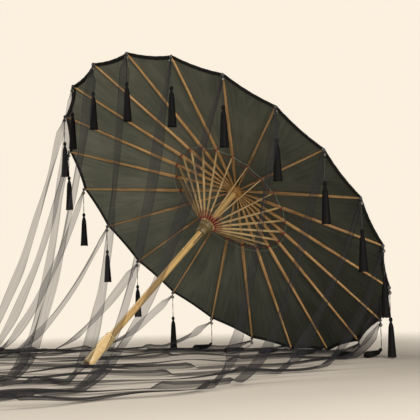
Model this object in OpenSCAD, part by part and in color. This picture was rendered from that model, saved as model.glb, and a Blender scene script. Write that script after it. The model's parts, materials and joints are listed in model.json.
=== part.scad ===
// Oil paper umbrella with tassels and long sheer ribbons, open and leaning
// on its rim and its handle. Every piece is modelled upright about the
// shaft, with z = 0 at the rim, and lean() sets it down on the floor.

/* [Canopy] */
// Number of ribs, and of stretchers
rib_count = 22; // [16:2:24]
// Radius of the open canopy at the rib tips
rim_r = 420; // [380:10:460]
// Height of the rib pivots above the rim
crown_h = 80; // [60:5:100]
// Thickness of the oiled silk
skin_t = 0.5; // [0.4:0.1:0.8]
// How far the rim is drawn in between two ribs
scallop = 5; // [0:1:8]
// Width of the binding sewn round the rim
hem_w = 5; // [4:0.5:8]

/* [Ribs] */
// Radius of the ring that the ribs turn on
notch_ring_r = 14; // [13:0.5:16]
// Width of a rib at its widest
rib_w = 5.2; // [4.6:0.1:5.4]
// Depth of a rib near the hub
rib_depth = 6; // [5:0.5:7]
// Depth of a rib at its tip
rib_tip_depth = 4.2; // [3.5:0.1:5]
// Radius of the joint between rib and stretcher
joint_r = 138; // [130:1:145]

/* [Stretchers] */
// Radius of the ring that the stretchers turn on
runner_ring_r = 12; // [11.5:0.1:12.5]
// Height of that ring above the rim, on the open umbrella
runner_ring_z = -35; // [-40:1:-30]
// Width of a stretcher at its widest
stretcher_w = 3.2; // [2.6:0.1:3.4]
// Depth of a stretcher
stretcher_depth = 4.4; // [4:0.1:5]

/* [Shaft and handle] */
// Radius of the bamboo shaft
shaft_r = 7; // [6.5:0.1:7.5]
// Depth of the bottom of the grip below the rim
grip_end = 455; // [430:5:480]
// Length of the grip
grip_len = 58; // [50:1:70]
// Largest radius of the grip
grip_r = 9.8; // [9:0.1:11]
// Radius of the round peg in the end of the grip
peg_r = 6; // [5:0.5:7]

/* [Hangings] */
// Radius of the bead at each rib tip
bead_r = 4; // [3:0.5:5]
// Diameter of the tassel cord
cord_d = 1.4; // [1:0.1:2]
// Length of cord between bead and tassel
cord_len = 45; // [40:5:60]
// Length of a tassel
tassel_len = 80; // [70:5:90]
// Radius of a tassel's skirt at its cut end
tassel_r = 8; // [6:0.5:9]
// Width of the sheer ribbon
ribbon_w = 24; // [20:1:28]
// Thickness of the sheer ribbon
ribbon_t = 0.12; // [0.1:0.01:0.15]
// Length of each ribbon
ribbon_len = 1000; // [950:10:1050]
// Compass heading, from +X, that the ribbons trail in
trail_dir = 230; // [225:1:235]
// Compass heading that the tassels on the floor lie in
lie_dir = 290; // [285:5:295]
// How far aside the lowest beads lie from their tips
bead_aside = 28; // [26:1:30]

/* [Hidden] */

function name_of(stem, i) = str(stem, i < 10 ? "0" : "", i);

$fn = 48;
eps = 0.01;
gap = 0.3;                        // clearance kept between bodies
pitch = 360 / rib_count;

// Rib: a straight bar from its pivot down to the rim
rib_end_r = rim_r - hem_w - 1.5;    // just short of the hem
rib_slope = atan((crown_h - 1) / (rim_r - 4 - notch_ring_r));
rib_len = (rib_end_r - notch_ring_r) / cos(rib_slope);
rib_head_w = 2;
rib_head_r = 3.2;
rib_full_x = 126;                 // where the rib reaches its full width
rib_taper_x = 160;                // where its depth starts to taper
joint_x = (joint_r - notch_ring_r) / cos(rib_slope);
joint_z = crown_h - (joint_r - notch_ring_r) * tan(rib_slope);
pin_r = 0.75;
pin_hole_r = 0.8;
wire_r = 0.5;
wire_hole_r = 0.7;
slot_w = 2.6;
slot_in = 36;                     // slot length on the hub side of the joint
slot_out = 56;                    // and on the rim side, where a closed stretcher lies

// Stretcher: from the runner up to the joint
reach_r = joint_r - runner_ring_r;
reach_z = joint_z - runner_ring_z;
stretcher_len = norm([reach_r, reach_z]);
stretcher_angle = atan(reach_r / reach_z);
stretcher_head_w = 1.8;
stretcher_tip_w = 2.2;
stretcher_tip_len = 58;

// Hub and runner
notch_r = 17.5;
notch_bottom = crown_h - 11;
notch_top = crown_h + 11;
comb_slot_w = 2.4;
runner_slot_w = 2.2;
drum_r = 15.5;
drum_top = runner_ring_z + 8;
drum_bottom = runner_ring_z - 12;
neck_r = 12;
neck_bottom = drum_bottom - 16;
run_fit = 0.08;                   // radial play of the runner on the shaft
shaft_top = crown_h + 18;
shaft_bottom = -grip_end + 16;
catch_top = neck_bottom - 1;
catch_len = 32;
catch_out = 2.4;

// Resting pose: the rim's two lowest corners and the end peg touch the floor
hem_t = 2;
hem_under = -1.4;                 // its lower face, from the skin's lower face
rest_r = rim_r * cos(pitch / 2);
rest_z = rib_top(rim_r - hem_w) + gap + hem_under;
peg_z = grip_end + 3;
lean_angle = acos(peg_r / norm([rest_r, peg_z + rest_z])) - atan((peg_z + rest_z) / rest_r);
lift = peg_z * sin(lean_angle) + peg_r;
origin_x = 58;                    // puts the middle of the whole outline,
origin_y = 310;                   // ribbons and all, over the origin

function rib_angle(i) = 90 + pitch / 2 + (i - 1) * pitch;
function polar(r, a) = [r * cos(a), r * sin(a)];
function on_floor(p) = [
    p.x + origin_x,
    p.y * sin(lean_angle) + p.z * cos(lean_angle) + origin_y,
    lift - p.y * cos(lean_angle) + p.z * sin(lean_angle)];
function tip_at(i) = on_floor([rim_r * cos(rib_angle(i)), rim_r * sin(rib_angle(i)), 0]);
function rib_top(r) = crown_h - (r - notch_ring_r) * tan(rib_slope)
    + lerp(rib_depth, rib_tip_depth, clamp01((r - rib_taper_x) / (rim_r - rib_taper_x))) / 2
    / cos(rib_slope);
function lerp(a, b, t) = a + (b - a) * t;
function clamp01(t) = max(0, min(1, t));
function smooth(t) = t * t * (3 - 2 * t);

module lean() {
    translate([origin_x, origin_y, lift]) rotate([lean_angle - 90, 0, 0]) children();
}

// A closed skin over a grid of upper and lower points, rows by columns
module skin(upper, lower) {
    rows = len(upper);
    cols = len(upper[0]);
    n = rows * cols;
    flat = concat([for (row = upper) each row], [for (row = lower) each row]);
    tops = [for (i = [0:rows - 2], j = [0:cols - 2]) let (a = i * cols + j)
        each [[a, a + 1, a + cols + 1], [a, a + cols + 1, a + cols]]];
    unders = [for (f = tops) [f[2] + n, f[1] + n, f[0] + n]];
    edge = concat(
        [for (j = [0:cols - 2]) [j, j + 1]],
        [for (i = [0:rows - 2]) [i * cols + cols - 1, (i + 1) * cols + cols - 1]],
        [for (j = [cols - 1:-1:1]) [(rows - 1) * cols + j, (rows - 1) * cols + j - 1]],
        [for (i = [rows - 1:-1:1]) [i * cols, (i - 1) * cols]]);
    sides = [for (e = edge)
        each [[e[1], e[0], e[0] + n], [e[1], e[0] + n, e[1] + n]]];
    polyhedron(flat, concat(tops, unders, sides));
}

// A round tube swept along a list of points
module tube(route, r, sides = 8) {
    n = len(route);
    rings = [for (k = [0:n - 1]) let (
        ahead = route[min(k + 1, n - 1)] - route[max(k - 1, 0)],
        t = ahead / norm(ahead),
        s = abs(t.x) < 0.9 ? cross(t, [1, 0, 0]) : cross(t, [0, 1, 0]),
        u = s / norm(s), v = cross(t, u))
        each [for (a = [0:sides - 1]) route[k] + r * (u * cos(a * 360 / sides)
            + v * sin(a * 360 / sides))]];
    walls = [for (k = [0:n - 2], a = [0:sides - 1]) let (
        b = (a + 1) % sides, p = k * sides, q = p + sides)
        each [[p + a, q + a, q + b], [p + a, q + b, p + b]]];
    caps = [[for (a = [0:sides - 1]) a],
            [for (a = [sides - 1:-1:0]) (n - 1) * sides + a]];
    polyhedron(rings, concat(walls, caps));
}

// ---------------------------------------------------------------- frame

module shaft() {
    color("#c79a55") lean() difference() {
        translate([0, 0, shaft_bottom]) cylinder(r = shaft_r, h = shaft_top - shaft_bottom);
        translate([0, -1.5, catch_top - catch_len - 1])
            cube([shaft_r + 1, 3, catch_len + 2]);
    }
}

module comb(slots, w, inner, z0, z1) {
    for (i = [1:slots]) rotate([0, 0, rib_angle(i)])
        translate([inner, -w / 2, z0]) cube([20, w, z1 - z0]);
}

module ring(r, wire) {
    rotate_extrude() translate([r, 0]) circle(r = wire, $fn = 24);
}

module notch() {
    color("#b58a4c") lean() difference() {
        translate([0, 0, notch_bottom]) cylinder(r = notch_r, h = notch_top - notch_bottom);
        translate([0, 0, notch_bottom - 1]) cylinder(r = shaft_r, h = notch_top - notch_bottom + 2);
        comb(rib_count, comb_slot_w, notch_ring_r - rib_head_r - 0.5,
            notch_bottom - 1, crown_h + rib_head_r + 0.4);
        translate([0, 0, crown_h]) ring(notch_ring_r, wire_r);
    }
}

module notch_wire() {
    color("#8c8478") lean() translate([0, 0, crown_h]) ring(notch_ring_r, wire_r);
}

module top_cap() {
    base = crown_h + 4;
    color("#9a6b3a") lean() difference() {
        translate([0, 0, base]) rotate_extrude() polygon([
            [0, 0], [25, 0], [26, 1.5], [25, 4], [20, 9], [12, 13.5], [7, 17],
            [5.5, 21], [7, 25], [8.5, 29], [8, 33], [5, 37], [0, 39]]);
        translate([0, 0, base - 1]) cylinder(r = notch_r + 0.2, h = notch_top - base + 1);
        translate([0, 0, base - 1]) cylinder(r = shaft_r, h = shaft_top - base + 1);
    }
}

module runner() {
    color("#b79a5e") lean() difference() {
        rotate_extrude() polygon([
            [0, neck_bottom], [neck_r - 1, neck_bottom], [neck_r, neck_bottom + 1.5],
            [neck_r, drum_bottom - 3], [neck_r - 1.5, drum_bottom - 1.5],
            [drum_r - 2, drum_bottom], [drum_r, drum_bottom + 3],
            [drum_r, drum_top - 1], [drum_r - 1, drum_top], [0, drum_top]]);
        translate([0, 0, neck_bottom - 1])
            cylinder(r = shaft_r + run_fit, h = drum_top - neck_bottom + 2);
        comb(rib_count, runner_slot_w, runner_ring_r - 2.9, runner_ring_z - 3.2, drum_top + 1);
        translate([0, 0, runner_ring_z]) ring(runner_ring_r, wire_r);
    }
}

module runner_wire() {
    color("#8c8478") lean() translate([0, 0, runner_ring_z]) ring(runner_ring_r, wire_r);
}

module catch_spring() {
    color("#a9a49a") lean() translate([0, 1.2, 0]) rotate([90, 0, 0]) linear_extrude(2.4)
        polygon([
            [0.5, catch_top - catch_len], [shaft_r, catch_top - catch_len],
            [shaft_r + catch_out, catch_top - 4], [shaft_r + catch_out, catch_top],
            [shaft_r - 0.6, catch_top], [shaft_r - 1.2, catch_top - catch_len + 6],
            [0.5, catch_top - catch_len + 3]]);
}

module grip() {
    top = -grip_end + grip_len;
    color("#c49a56") lean() difference() {
        rotate_extrude() polygon([
            [0, -grip_end], [grip_r - 1.2, -grip_end], [grip_r - 0.4, -grip_end + 1.2],
            [grip_r - 0.3, -grip_end + 22], [grip_r - 1.4, -grip_end + 24],
            [grip_r - 1.4, -grip_end + 26], [grip_r - 0.4, -grip_end + 28],
            [grip_r, -grip_end + 38], [grip_r, -grip_end + 48],
            [grip_r - 0.8, -grip_end + 53], [shaft_r + 1.4, top - 3],
            [shaft_r + 1.2, top], [0, top]]);
        translate([0, 0, shaft_bottom]) cylinder(r = shaft_r, h = grip_len);
        translate([0, 0, -grip_end - 1]) cylinder(r = 2.5, h = 11);
    }
}

module end_knob() {
    color("#6e4526") lean() {
        difference() {
            translate([0, 0, -peg_z]) sphere(r = peg_r);
            translate([0, 0, -grip_end]) cylinder(r = 2 * peg_r, h = 2 * peg_r);
        }
        translate([0, 0, -grip_end - 0.5]) cylinder(r = 2.5, h = 10);
    }
}

// Side outline of a rib, along x from its pivot
module rib_side() {
    half = rib_depth / 2;
    tip = rib_tip_depth / 2;
    circle(r = rib_head_r);
    polygon([[0, -half], [rib_taper_x, -half], [rib_len, -tip],
             [rib_len, tip], [rib_taper_x, half], [0, half]]);
}

// Plan outline of a rib
module rib_plan() {
    polygon([for (s = [1, -1]) each [for (p = s > 0
        ? [[-4, rib_head_w], [12, rib_head_w], [rib_full_x, rib_w], [rib_len + 1, rib_w - 0.4]]
        : [[rib_len + 1, rib_w - 0.4], [rib_full_x, rib_w], [12, rib_head_w], [-4, rib_head_w]])
        [p[0], s * p[1] / 2]]]);
}

module rib(i) {
    color("#b3854c") lean() rotate([0, 0, rib_angle(i)])
    translate([notch_ring_r, 0, crown_h]) rotate([0, rib_slope, 0]) difference() {
        intersection() {
            rotate([90, 0, 0]) translate([0, 0, -5]) linear_extrude(10) rib_side();
            translate([0, 0, -5]) linear_extrude(10) rib_plan();
        }
        rotate([90, 0, 0]) translate([0, 0, -5]) cylinder(r = wire_hole_r, h = 10);
        translate([joint_x - slot_in, -slot_w / 2, -5]) cube([slot_in + slot_out, slot_w, 10]);
        translate([joint_x, 5, 0]) rotate([90, 0, 0]) cylinder(r = pin_hole_r, h = 10);
        translate([rib_len - 4, 5, 0]) rotate([90, 0, 0]) cylinder(r = 0.9, h = 10);
    }
}

module stretcher_plan() {
    w = stretcher_w / 2;
    head = stretcher_head_w / 2;
    tip = stretcher_tip_w / 2;
    neck = stretcher_len - stretcher_tip_len;
    polygon([
        [-4, head], [10, head], [60, w], [neck - 8, w], [neck, tip], [stretcher_len + 4, tip],
        [stretcher_len + 4, -tip], [neck, -tip], [neck - 8, -w], [60, -w], [10, -head],
        [-4, -head]]);
}

module stretcher(i) {
    half = stretcher_depth / 2;
    color("#c09763") lean() rotate([0, 0, rib_angle(i)])
    translate([runner_ring_r, 0, runner_ring_z]) rotate([0, stretcher_angle - 90, 0]) {
        difference() {
            intersection() {
                rotate([90, 0, 0]) translate([0, 0, -5]) linear_extrude(10) {
                    circle(r = half);
                    translate([stretcher_len, 0]) circle(r = half);
                    translate([0, -half]) square([stretcher_len, stretcher_depth]);
                }
                translate([0, 0, -5]) linear_extrude(10) stretcher_plan();
            }
            rotate([90, 0, 0]) translate([0, 0, -5]) cylinder(r = wire_hole_r, h = 10);
            translate([stretcher_len, 5, 0]) rotate([90, 0, 0]) cylinder(r = pin_hole_r, h = 10);
        }
        translate([stretcher_len, stretcher_tip_w / 2, 0]) rotate([90, 0, 0])
            cylinder(r = pin_r, h = stretcher_tip_w);
    }
}

// --------------------------------------------------------------- canopy

// Radius of the cloth's edge, t from one rib to the next
function rim_at(t) = (rim_r - hem_w) * cos(pitch / 2) / cos((t - 0.5) * pitch)
    - 4 * scallop * t * (1 - t);

function gore_point(k, s, t, up) = let (
    edge = rim_at(t),
    inner = notch_r + 0.7,
    r = lerp(inner, edge, s),
    flat_r = r * cos((t - 0.5) * pitch) / cos(pitch / 2),
    a = rib_angle(k) + t * pitch)
    [r * cos(a), r * sin(a), rib_top(flat_r) + gap + up - 6 * s * t * (1 - t)];

module canopy() {
    rows = [0, 0.12, 0.4, 0.7, 1];
    cols = [0:0.25:1];
    color("#3f443c") lean() for (k = [1:rib_count])
        skin([for (s = rows) [for (t = cols) gore_point(k, s, lerp(0.002, 0.998, t), skin_t)]],
             [for (s = rows) [for (t = cols) gore_point(k, s, lerp(0.002, 0.998, t), 0)]]);
}

module hem() {
    cols = [0:0.25:1];
    color("#141414") lean() for (k = [1:rib_count])
        skin([for (s = [0, 1]) [for (t = cols) hem_point(k, s, lerp(0.002, 0.998, t), hem_under + hem_t)]],
             [for (s = [0, 1]) [for (t = cols) hem_point(k, s, lerp(0.002, 0.998, t), hem_under)]]);
}

function hem_point(k, s, t, up) = let (
    p = gore_point(k, 1, t, up),
    out = (hem_w * s + 0.05) / norm([p.x, p.y]))
    [p.x * (1 + out), p.y * (1 + out), p.z];

module thread_ring() {
    r = joint_r + 12;
    z = crown_h - (r - notch_ring_r) * tan(rib_slope) - rib_depth / 2 - 1.2;
    color("#8d9a94") lean() translate([0, 0, z]) ring(r, 0.5);
}

// ------------------------------------------------------------- hangings

// The six lowest tips have their tassels lying on the floor. The beads of
// those that nearly touch it lie there too, a little aside from the tip.
function lies(i) = tip_at(i).z < cord_len + tassel_len;
function hangs_free(i) = tip_at(i).z > 2 * bead_r + 5;
function bead_at(i) = let (p = tip_at(i))
    hangs_free(i) ? p - [0, 0, bead_r + 5]
                  : [p.x, p.y, bead_r + 0.3] + concat(polar(bead_aside, trail_dir + 62), 0);

// Cord route: from the bead straight down, or down and along the floor
function cord_start(i) = hangs_free(i) ? bead_at(i) - [0, 0, bead_r + 0.5]
    : bead_at(i) + concat(polar(bead_r + 0.8, lie_dir), 0);
function cord_route(i) = let (
    start = cord_start(i),
    end_z = lies(i) ? max(4, start.z - cord_len) : start.z - cord_len,
    run = max(0, cord_len - (start.z - end_z)))
    [for (t = [0, 0.33, 0.67, 1]) concat([start.x, start.y] + polar(run * t, lie_dir),
        lerp(start.z, end_z, run > 0 ? clamp01(t / 0.67) : t))];

module beads() {
    color("#d9dcd6") for (i = [1:rib_count]) translate(bead_at(i)) sphere(r = bead_r, $fn = 24);
}

module tassel_cords() {
    color("#17181a") for (i = [1:rib_count]) tube(cord_route(i), cord_d / 2);
}

module tassel() {
    rotate_extrude($fn = 32) polygon([
        [0, 0], [2, 0], [3.4, 2], [3.6, 6], [2.6, 9], [3.4, 12],
        [4.4, 26], [tassel_r - 1.5, 58], [tassel_r, tassel_len], [0, tassel_len]]);
}

module tassels() {
    color("#101112") for (i = [1:rib_count]) let (end = cord_route(i)[3])
        if (lies(i))
            translate(end) rotate([0, 0, lie_dir]) translate([1.2, 0, 0])
                rotate([0, 90 - asin((tassel_r + 0.5 - end.z) / tassel_len), 0]) tassel();
        else
            translate(end - [0, 0, 0.2]) rotate([180, 0, 0]) tassel();
}

// A ribbon sweeps down from its tip, lands as a smooth curve and trails over
// the floor. Each row is one tip's: the plan distance it covers while it
// hangs, the angle it veers forward in the air, then on the floor, and how
// far its waves swing, in mm and degrees.
ribbon_lie = [
    [60, 10, 0, 14], [110, 5, -6, 16], [170, 0, -14, 14], [230, -5, -16, 14],
    [250, 10, -10, 16], [290, 30, 0, 16], [300, 45, 10, 14], [340, 60, 25, 14],
    [380, 62, 40, 12], [430, 82, 55, 10], [420, 76, 45, 14], [430, 82, 20, 16],
    [420, 72, 25, 14], [480, 60, 40, 14], [420, 72, 30, 16], [400, 62, 10, 16],
    [320, 52, 5, 18], [270, 52, 0, 18], [190, 45, 4, 16], [130, 46, 8, 16],
    [90, 35, 4, 14], [170, 24, 2, 16]];
ribbon_steps = 16;
ribbon_fall = 2.4;                // how steeply it leaves the tip
gather_at = 430;                  // how far out the ends start to be drawn forward
gather_turn = 75;                 // the heading they end up with

function fall(u) = pow(max(0, 1 - u), ribbon_fall);
function hang_length(reach, drop, n = 12) = sum([for (k = [0:n - 1])
    norm([reach / n, drop * (fall(k / n) - fall((k + 1) / n))])]);
function sum(v, i = 0) = i >= len(v) ? 0 : v[i] + sum(v, i + 1);
function trailing(p) = p.x * cos(trail_dir) + p.y * sin(trail_dir);
function heading(lie, i, d, p) = trail_dir + lie[1]
    + (lie[2] - lie[1]) * smooth(clamp01((d - 0.6 * lie[0]) / (0.8 * lie[0])))
    + lie[3] * sin(1.7 * d + 80 * i) * clamp01((d - lie[0]) / 100)
    + (d > lie[0] ? (gather_turn - lie[2]) * smooth(clamp01((trailing(p) - gather_at) / 200)) : 0);
function plan(lie, i, step, p, k) = k > ribbon_steps ? [] : concat([p],
    plan(lie, i, step, p + polar(step, heading(lie, i, (k + 0.5) * step, p)), k + 1));
function ribbon_route(i) = let (
    tip = tip_at(i),
    lie = ribbon_lie[(i - 1) % len(ribbon_lie)],
    level = 0.3 + 0.2 * i,
    drop = tip.z - 4,
    step = (lie[0] + ribbon_len - hang_length(lie[0], drop)) / ribbon_steps,
    clear = polar(2 * bead_r, trail_dir + lie[1]),
    path = plan(lie, i, step, [tip.x - origin_x, tip.y - origin_y] + clear, 0))
    [for (k = [0:ribbon_steps]) [path[k].x + origin_x, path[k].y + origin_y,
        max(level, drop * fall(k * step / lie[0]))]];

module strip(route, w, t) {
    n = len(route);
    across = [for (k = [0:n - 1]) let (
        ahead = route[min(k + 1, n - 1)] - route[max(k - 1, 0)],
        flat = [-ahead.y, ahead.x, 0])
        (norm(flat) > eps ? flat / norm(flat) : [1, 0, 0]) * w / 2];
    face = [for (k = [0:n - 1]) let (
        ahead = route[min(k + 1, n - 1)] - route[max(k - 1, 0)],
        m = cross(ahead, across[k]))
        m / norm(m) * t / 2];
    skin([for (k = [0:n - 1]) [for (s = [-1, 1]) route[k] + s * across[k] + face[k]]],
         [for (k = [0:n - 1]) [for (s = [-1, 1]) route[k] + s * across[k] - face[k]]]);
}

module ribbons() {
    color("#4a4b50") for (i = [1:rib_count]) strip(ribbon_route(i), ribbon_w, ribbon_t);
}

// ------------------------------------------------------------- the nodes

shaft();
notch();
notch_wire();
top_cap();
runner();
runner_wire();
catch_spring();
grip();
end_knob();
canopy();
hem();
thread_ring();
beads();
tassel_cords();
tassels();
ribbons();
for (i = [1:rib_count]) {
    rib(i);
    stretcher(i);
}
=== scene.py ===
# Oil paper umbrella, open and leaning on its rim and its grip, with tassels and
# long sheer ribbons at its rim. The sections follow it as it is put together.
import json
import math
import random

import bpy
from mathutils import Matrix, Vector


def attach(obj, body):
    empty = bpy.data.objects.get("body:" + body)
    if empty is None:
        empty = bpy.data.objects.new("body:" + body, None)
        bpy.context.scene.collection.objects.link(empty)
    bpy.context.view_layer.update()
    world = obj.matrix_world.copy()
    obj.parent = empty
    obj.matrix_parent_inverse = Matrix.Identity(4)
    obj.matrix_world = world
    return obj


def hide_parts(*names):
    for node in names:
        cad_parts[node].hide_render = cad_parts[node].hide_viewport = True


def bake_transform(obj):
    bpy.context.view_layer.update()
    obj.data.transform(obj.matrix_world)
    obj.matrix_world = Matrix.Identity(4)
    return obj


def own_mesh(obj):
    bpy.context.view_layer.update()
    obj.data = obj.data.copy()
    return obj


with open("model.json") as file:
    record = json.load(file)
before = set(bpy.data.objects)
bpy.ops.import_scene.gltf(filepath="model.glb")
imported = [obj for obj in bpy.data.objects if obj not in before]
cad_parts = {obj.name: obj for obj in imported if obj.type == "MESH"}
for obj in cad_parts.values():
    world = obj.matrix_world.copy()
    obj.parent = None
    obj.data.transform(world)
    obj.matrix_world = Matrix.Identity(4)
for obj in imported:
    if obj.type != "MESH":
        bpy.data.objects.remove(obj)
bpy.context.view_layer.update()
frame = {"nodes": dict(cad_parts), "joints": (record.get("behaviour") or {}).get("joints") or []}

# ---- How it stands
# The shaft leans, and the rim lies square to it. Pieces are laid out upright
# about the shaft in millimetres, with zero at the rim, and place() sets them down.
joints = {j["name"]: j for j in frame["joints"]}
pivots = [Vector(joints[n]["pos_m"]) for n in sorted(joints) if n.startswith("rib_")]
rib_count = len(pivots)
pitch = math.tau / rib_count
rim_r = 420
crown_h = 80
hub_ring_r = 14
shaft_up = -Vector(joints["fold"]["axis"]).normalized()
hub_centre = sum(pivots, Vector()) / rib_count
rim_centre = hub_centre - shaft_up * crown_h / 1000
side = Vector((1, 0, 0))
UPRIGHT = Matrix.Translation(rim_centre) @ Matrix(
    (side, shaft_up.cross(side), shaft_up)).transposed().to_4x4()


def place(x, y, z):
    """A point about the shaft, in mm, as a point in the row frame, in metres."""
    return UPRIGHT @ (Vector((x, y, z)) / 1000)


def polar(r, angle, z=0):
    """A point at radius r from the shaft."""
    return place(r * math.cos(angle), r * math.sin(angle), z)


def rib_angle(i):
    """The angle of rib i about the shaft, with 1 and the last the lowest two."""
    return math.pi / 2 + pitch / 2 + (i - 1) * pitch


def smooth(t):
    """0 to 1 with a gentle start and end."""
    t = max(0.0, min(1.0, t))
    return t * t * (3 - 2 * t)


def lerp(a, b, t):
    return a + (b - a) * t


# ---- Camera
# It stands low, in front and to the right, looks a little upwards, and is tilted
# by a degree and a half.
to_camera = Vector((1.732, -1.4791, -0.1653))
heading = math.radians(139.83)
look_up = math.radians(4.41)
tilt = math.radians(-1.5)
bpy.ops.object.camera_add(location=rim_centre + to_camera)
camera = bpy.context.object
forward = Vector((
    math.cos(heading) * math.cos(look_up),
    math.sin(heading) * math.cos(look_up),
    math.sin(look_up)))
camera.rotation_euler = (
    forward.to_track_quat("-Z", "Y").to_matrix().to_4x4() @ Matrix.Rotation(tilt, 4, "Z")
).to_euler()
camera.data.sensor_width = 36
camera.data.lens = 89.6
camera.data.clip_start = 0.05
bpy.context.scene.camera = camera

# ---- Floor and light
# A pale matt floor that fades into a warm white surround, lit by one large soft
# light high on the left and a lower one on the right.


def rgb(code):
    """An sRGB hex colour as linear red, green, blue and one."""
    parts = [int(code[k:k + 2], 16) / 255 for k in (1, 3, 5)]
    return [*(c / 12.92 if c <= 0.04045 else ((c + 0.055) / 1.055) ** 2.4 for c in parts), 1]


def node(tree, kind, inputs=None, **settings):
    """A shader node with its settings, and with each input set or linked."""
    made = tree.nodes.new("ShaderNode" + kind)
    for name, value in settings.items():
        setattr(made, name, value)
    for name, value in (inputs or {}).items():
        if isinstance(value, bpy.types.NodeSocket):
            tree.links.new(value, made.inputs[name])
        else:
            made.inputs[name].default_value = value
    return made


def finish_named(name, **sockets):
    """A new material, its tree and its Principled shader, with sockets set."""
    made = bpy.data.materials.new(name)
    made.use_nodes = True
    shader = made.node_tree.nodes["Principled BSDF"]
    for key, value in sockets.items():
        shader.inputs[key.replace("_", " ")].default_value = value
    return made, made.node_tree, shader


def dress(obj, material):
    """Gives a piece its material."""
    obj.data.materials.clear()
    obj.data.materials.append(material)


bpy.context.scene.view_settings.view_transform = "Standard"
# what the camera sees of the surround is brighter than the light that it gives
surround = bpy.data.worlds.new("warm_surround")
bpy.context.scene.world = surround
surround.use_nodes = True
tree = surround.node_tree
dimmed = tree.nodes["Background"]
dimmed.inputs["Color"].default_value = rgb("#fbf1e2")
dimmed.inputs["Strength"].default_value = 0.17
backdrop = node(tree, "Background", {"Color": rgb("#fcf0df"), "Strength": 1.0})
seen = node(tree, "LightPath")
both = node(tree, "MixShader", {
    0: seen.outputs["Is Camera Ray"], 1: dimmed.outputs[0], 2: backdrop.outputs[0]})
tree.links.new(both.outputs[0], tree.nodes["World Output"].inputs["Surface"])

floor_r = 2.6
fade_from, fade_to = 0.65, 1.6
bpy.ops.mesh.primitive_circle_add(vertices=96, radius=floor_r, fill_type="NGON")
floor = bpy.context.object
floor.name = "floor"
# painted board: matt, so that shadows are soft and nothing is mirrored in it
matt_floor, tree, shader = finish_named("matt_floor", Roughness=0.9)
spot = node(tree, "TexCoord")
away = node(tree, "VectorMath", {0: spot.outputs["Object"]}, operation="LENGTH")
fade = node(tree, "MapRange", {
    "Value": away.outputs["Value"], "From Min": fade_from, "From Max": fade_to,
    "To Min": 1.0, "To Max": 0.0}, interpolation_type="SMOOTHSTEP")
grain = node(tree, "TexNoise", {"Vector": spot.outputs["Object"], "Scale": 3.0, "Detail": 3.0})
ground = node(tree, "Mix", {
    0: grain.outputs["Fac"], 6: rgb("#c1bcb4"), 7: rgb("#cdc8c0")}, data_type="RGBA")
tree.links.new(ground.outputs[2], shader.inputs["Base Color"])
tree.links.new(fade.outputs["Result"], shader.inputs["Alpha"])
floor.data.materials.append(matt_floor)

for name, place_at, aim, size, power in (
        ("soft_light_left", (-1.26, -0.9, 2.0), (0.0, -0.1, 0.1), 1.4, 50),
        ("soft_light_right", (2.6, -0.75, 0.6), (-0.2, 0.2, 0.4), 1.2, 88)):
    bpy.ops.object.light_add(type="AREA", location=place_at)
    light = bpy.context.object
    light.name = name
    light.data.shape = "SQUARE"
    light.data.size = size
    light.data.energy = power
    light.data.color = rgb("#fff6ea")[:3]
    light.rotation_euler = (Vector(aim) - Vector(place_at)).to_track_quat("-Z", "Y").to_euler()
    light.visible_camera = False

# ---- Tassel cords
# Each hangs from a rib tip: a thin black silk cord, doubled, that runs through a
# bead and down into the head of its tassel. Those at the lowest tips reach the floor.
bead_r = 4
bead_drop = 5
bead_rest = 0.3
bead_aside = 28
cord_d = 1.4
cord_len = 45
cord_in_tassel = 25
tassel_len = 80
tassel_r = 8
# which way ribbons trail, tassels lie, and beads that touch the floor roll aside
trail_dir = math.radians(230)
lie_dir = math.radians(290)
aside_dir = math.radians(292)
# height over which a cord turns from hanging to lying, and the least it still falls
landing_bend = 26
least_slope = 0.02
# each cord is two strands, twisted by so many radians at every step along it
strand_r = 0.45
strand_step = 1.5
strand_turn = 0.22


def tip_at(i):
    """The tip of rib i, in mm in the row frame."""
    return polar(rim_r, rib_angle(i)) * 1000


def hangs_free(i):
    """Whether the bead of tip i clears the floor."""
    return tip_at(i).z > 2 * bead_r + bead_drop


def lies(i):
    """Whether the tassel of tip i reaches the floor."""
    return tip_at(i).z < cord_len + tassel_len


def heading_of(angle):
    """A level direction."""
    return Vector((math.cos(angle), math.sin(angle), 0))


def bead_at(i):
    """The middle of the bead at tip i, in mm."""
    tip = tip_at(i)
    if hangs_free(i):
        return tip - Vector((0, 0, bead_r + bead_drop))
    return Vector((tip.x, tip.y, bead_r + bead_rest)) + bead_aside * heading_of(aside_dir)


def along(points, step):
    """The same line with a point every step, in mm."""
    out, rest = [points[0]], step
    for a, b in zip(points, points[1:]):
        length = (b - a).length
        while rest <= length:
            out.append(a.lerp(b, rest / length))
            rest += step
        rest -= length
    return out


def hang_line(i):
    """The line of cord and tassel i from the bead, in mm: down, then along the floor."""
    start, total = bead_at(i), cord_len + bead_r + tassel_len
    if not lies(i):
        return [start - Vector((0, 0, d)) for d in range(0, int(total) + 1)]
    line, pos, slope = [start], start.copy(), math.pi / 2 if hangs_free(i) else 0.0
    for d in range(int(total)):
        rest_z = lerp(cord_d, tassel_r * 0.8, smooth((d - cord_len) / 40))
        room = max(0.0, pos.z - rest_z)
        slope = min(slope, math.pi / 2 * smooth(room / landing_bend) + least_slope)
        step = heading_of(lie_dir) * math.cos(slope) - Vector((0, 0, math.sin(slope)))
        pos = pos + step
        pos.z = max(pos.z, min(line[-1].z, rest_z)) if pos.z < rest_z else pos.z
        line.append(pos.copy())
    return line


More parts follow.
